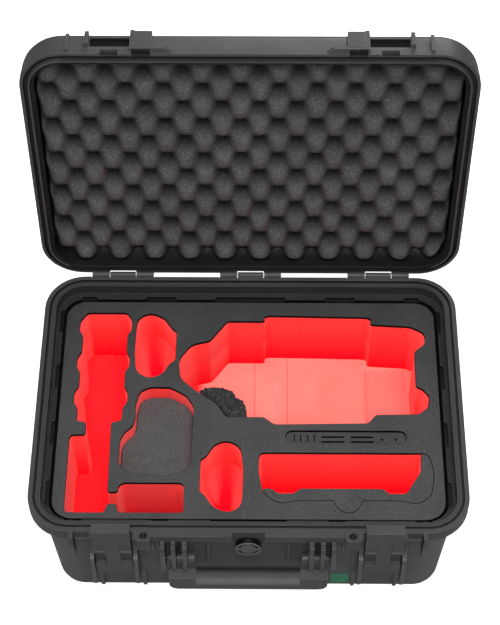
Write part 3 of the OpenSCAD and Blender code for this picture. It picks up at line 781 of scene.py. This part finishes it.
def bump_height(x, y):
    """Height of the wavy face over its valleys, in mm, with the waves drifting a little."""
    drift = Vector((x * 0.02, y * 0.02, 3.0))
    wave_x = x + 1.3 * noise.noise(drift) + 0.5 * noise.noise(Vector((x * 0.11, y * 0.11, 7.0)))
    wave_y = y + 1.3 * noise.noise(drift + Vector((9, 4, 0)))
    wave = (math.cos(2 * math.pi * (wave_x + EGG_SHIFT_X) / EGG_PITCH_X)
            * math.cos(2 * math.pi * (wave_y + EGG_SHIFT_Y) / EGG_PITCH_Y))
    # Broad round tops and narrow valleys.
    share = 0.5 + 0.5 * wave
    share = 1 - (1 - share) ** 1.55
    share = share * 0.75 + 0.25 * share * share * (3 - 2 * share)
    return (share * EGG_DEPTH + 0.5 * noise.noise(Vector((x * 0.35, y * 0.35, 1.0)))
            + 0.22 * noise.noise(Vector((x * 1.1, y * 1.1, 5.0))))


def egg_crate():
    """Built as in the closed lid, wavy face down, then swung open."""
    swing = np.array(CLOSED)
    cad = np.array([vert.co for vert in frame["nodes"]["lid_foam"].data.vertices], float)
    cad = cad @ swing[:3, :3].T + swing[:3, 3]
    low, high = cad.min(0) / MM, cad.max(0) / MM
    half_x, half_y = (high[0] - low[0]) / 2 - 0.6, (high[1] - low[1]) / 2 - 0.6
    face_z, back_z = low[2], high[2] - 0.4
    columns = np.linspace(-half_x, half_x, EGG_COLUMNS)
    rows = np.linspace(-half_y, half_y, EGG_ROWS)
    grid_x, grid_y = np.meshgrid(columns, rows)

    # Pull the square corners of the grid in to arcs.
    over_x = np.maximum(np.abs(grid_x) - (half_x - EGG_CORNER), 0) / EGG_CORNER
    over_y = np.maximum(np.abs(grid_y) - (half_y - EGG_CORNER), 0) / EGG_CORNER
    reach = np.hypot(over_x, over_y)
    pull = np.where(reach > 1e-9, np.maximum(over_x, over_y) / np.maximum(reach, 1e-9), 1.0)
    corner = (over_x > 0) & (over_y > 0)

    def rounded(grid, over, half):
        arc = (half - EGG_CORNER) + over * pull * EGG_CORNER
        return np.where(corner, np.sign(grid) * arc, grid)

    grid_x = rounded(grid_x, over_x, half_x)
    grid_y = rounded(grid_y, over_y, half_y)
    border = np.minimum((half_x - np.abs(columns))[None, :], (half_y - np.abs(rows))[:, None])
    verts = []
    for x, y, gap in zip(grid_x.flat, grid_y.flat, border.flat):
        height = bump_height(x, y)
        if gap < EGG_ROLL:
            height -= (1 - gap / EGG_ROLL) ** 2 * EGG_ROLL_DROP
        verts.append((x, y, face_z + 0.6 + (EGG_DEPTH - height)))
    faces = []
    for j in range(EGG_ROWS - 1):
        for i in range(EGG_COLUMNS - 1):
            first = j * EGG_COLUMNS + i
            faces.append((first, first + EGG_COLUMNS, first + EGG_COLUMNS + 1, first + 1))

    # Side walls and the flat back.
    last_row = (EGG_ROWS - 1) * EGG_COLUMNS
    ring = list(range(EGG_COLUMNS))
    ring += [j * EGG_COLUMNS + EGG_COLUMNS - 1 for j in range(1, EGG_ROWS)]
    ring += [last_row + i for i in range(EGG_COLUMNS - 2, -1, -1)]
    ring += [j * EGG_COLUMNS for j in range(EGG_ROWS - 2, 0, -1)]
    start, count = len(verts), len(ring)
    verts += [(*verts[i][:2], back_z) for i in ring]
    for i in range(count):
        j = (i + 1) % count
        faces.append((ring[i], ring[j], start + j, start + i))
    faces.append(tuple(start + i for i in range(count - 1, -1, -1)))
    verts = [OPENED @ (Vector(vert) * MM) for vert in verts]
    new_foam("lid_foam_convoluted", verts, faces, "lid_foam", "lid")


egg_crate()

# ------------------------------------------------------------------ stage, light, camera
FLOOR_REACH = 9.0      # metres from the centre to the sides and the front
FLOOR_BACK = 3.0       # where the floor starts to curve up
COVE_RADIUS = 1.2
COVE_STEPS = 12
WALL_TOP = 6.0
FLOOR_DROP = 0.0003    # keeps the floor just clear of the case

# Name, place, aim point, (width, height) in metres, power in watts.
LIGHTS = [
    ("key", (0.15, -1.15, 2.5), (0, -0.05, 0.1), (1.5, 1.1), 40),
    ("top", (0.0, -0.45, 2.7), (0, -0.1, 0.1), (1.4, 1.4), 24),
    ("left", (-2.1, -0.6, 1.3), (0, 0, 0.15), (1.0, 1.0), 8),
    ("right", (2.1, -0.6, 1.3), (0, 0, 0.15), (1.0, 1.0), 8),
    ("back", (0.5, 2.3, 1.2), (0, 0.1, 0.2), (1.3, 1.3), 22),
]
WORLD_STRENGTH = 0.26

CAMERA_PLACE = (13.85, -1005.1, 1720.8)  # mm
CAMERA_DOWN, CAMERA_YAW, CAMERA_ROLL = (
    math.radians(degrees) for degrees in (54.741, -0.7211, -0.3339))


def stage_white():
    """Glowing white to the camera, a dull grey to the light it bounces."""
    mat = Shader("stage_white")
    seen = mat.node("LightPath").outputs["Is Camera Ray"]
    color = mat.mix(seen, (0.34, 0.34, 0.34), (0.9, 0.9, 0.9))
    return mat.finish(color, rough=0.95, spec=0.0,
                      extra={"Emission Color": (1, 1, 1),
                             "Emission Strength": mat.multiply(seen, 0.72)})


def add_floor():
    """A floor that curves up into a back wall."""
    material = stage_white()
    profile = [(-FLOOR_REACH, 0.0), (FLOOR_BACK, 0.0)]
    for step in range(1, COVE_STEPS + 1):
        angle = math.radians(90 * step / COVE_STEPS)
        profile.append((FLOOR_BACK + COVE_RADIUS * math.sin(angle),
                        COVE_RADIUS * (1 - math.cos(angle))))
    profile.append((FLOOR_BACK + COVE_RADIUS, WALL_TOP))
    verts = [(x, y, z - FLOOR_DROP) for y, z in profile for x in (-FLOOR_REACH, FLOOR_REACH)]
    faces = [(2 * i, 2 * i + 1, 2 * i + 3, 2 * i + 2) for i in range(len(profile) - 1)]
    mesh = bpy.data.meshes.new("floor")
    mesh.from_pydata(verts, [], faces)
    obj = bpy.data.objects.new("floor", mesh)
    SCENE.collection.objects.link(obj)
    mesh.materials.append(material)
    smooth(mesh)


def add_world():
    world = bpy.data.worlds.new("studio")
    world.use_nodes = True
    background = world.node_tree.nodes["Background"]
    background.inputs[0].default_value = (1, 1, 1, 1)
    background.inputs[1].default_value = WORLD_STRENGTH
    SCENE.world = world


def add_light(name, place, aim, size, power):
    light = bpy.data.lights.new(name, "AREA")
    light.energy = power
    light.shape = "RECTANGLE"
    light.size, light.size_y = size
    obj = bpy.data.objects.new(name, light)
    obj.location = place
    obj.rotation_euler = (Vector(aim) - Vector(place)).to_track_quat("-Z", "Y").to_euler()
    SCENE.collection.objects.link(obj)


def add_camera():
    """Looks down on the case from the front."""
    camera = bpy.data.cameras.new("cam")
    camera.lens = 99.06
    camera.sensor_width = 36
    camera.sensor_fit = "AUTO"
    obj = bpy.data.objects.new("cam", camera)
    level = math.cos(CAMERA_DOWN)
    forward = Vector((math.sin(CAMERA_YAW) * level, math.cos(CAMERA_YAW) * level,
                      -math.sin(CAMERA_DOWN)))
    right = Vector((math.cos(CAMERA_YAW), -math.sin(CAMERA_YAW), 0))
    up = right.cross(forward)
    cos_roll, sin_roll = math.cos(CAMERA_ROLL), math.sin(CAMERA_ROLL)
    axes = (cos_roll * right + sin_roll * up, -sin_roll * right + cos_roll * up, -forward)
    pose = Matrix(axes).transposed().to_4x4()
    pose.translation = Vector(CAMERA_PLACE) * MM
    obj.matrix_world = pose
    SCENE.collection.objects.link(obj)
    SCENE.camera = obj


add_floor()
add_world()
for light_row in LIGHTS:
    add_light(*light_row)
add_camera()
SCENE.view_settings.view_transform = "Standard"
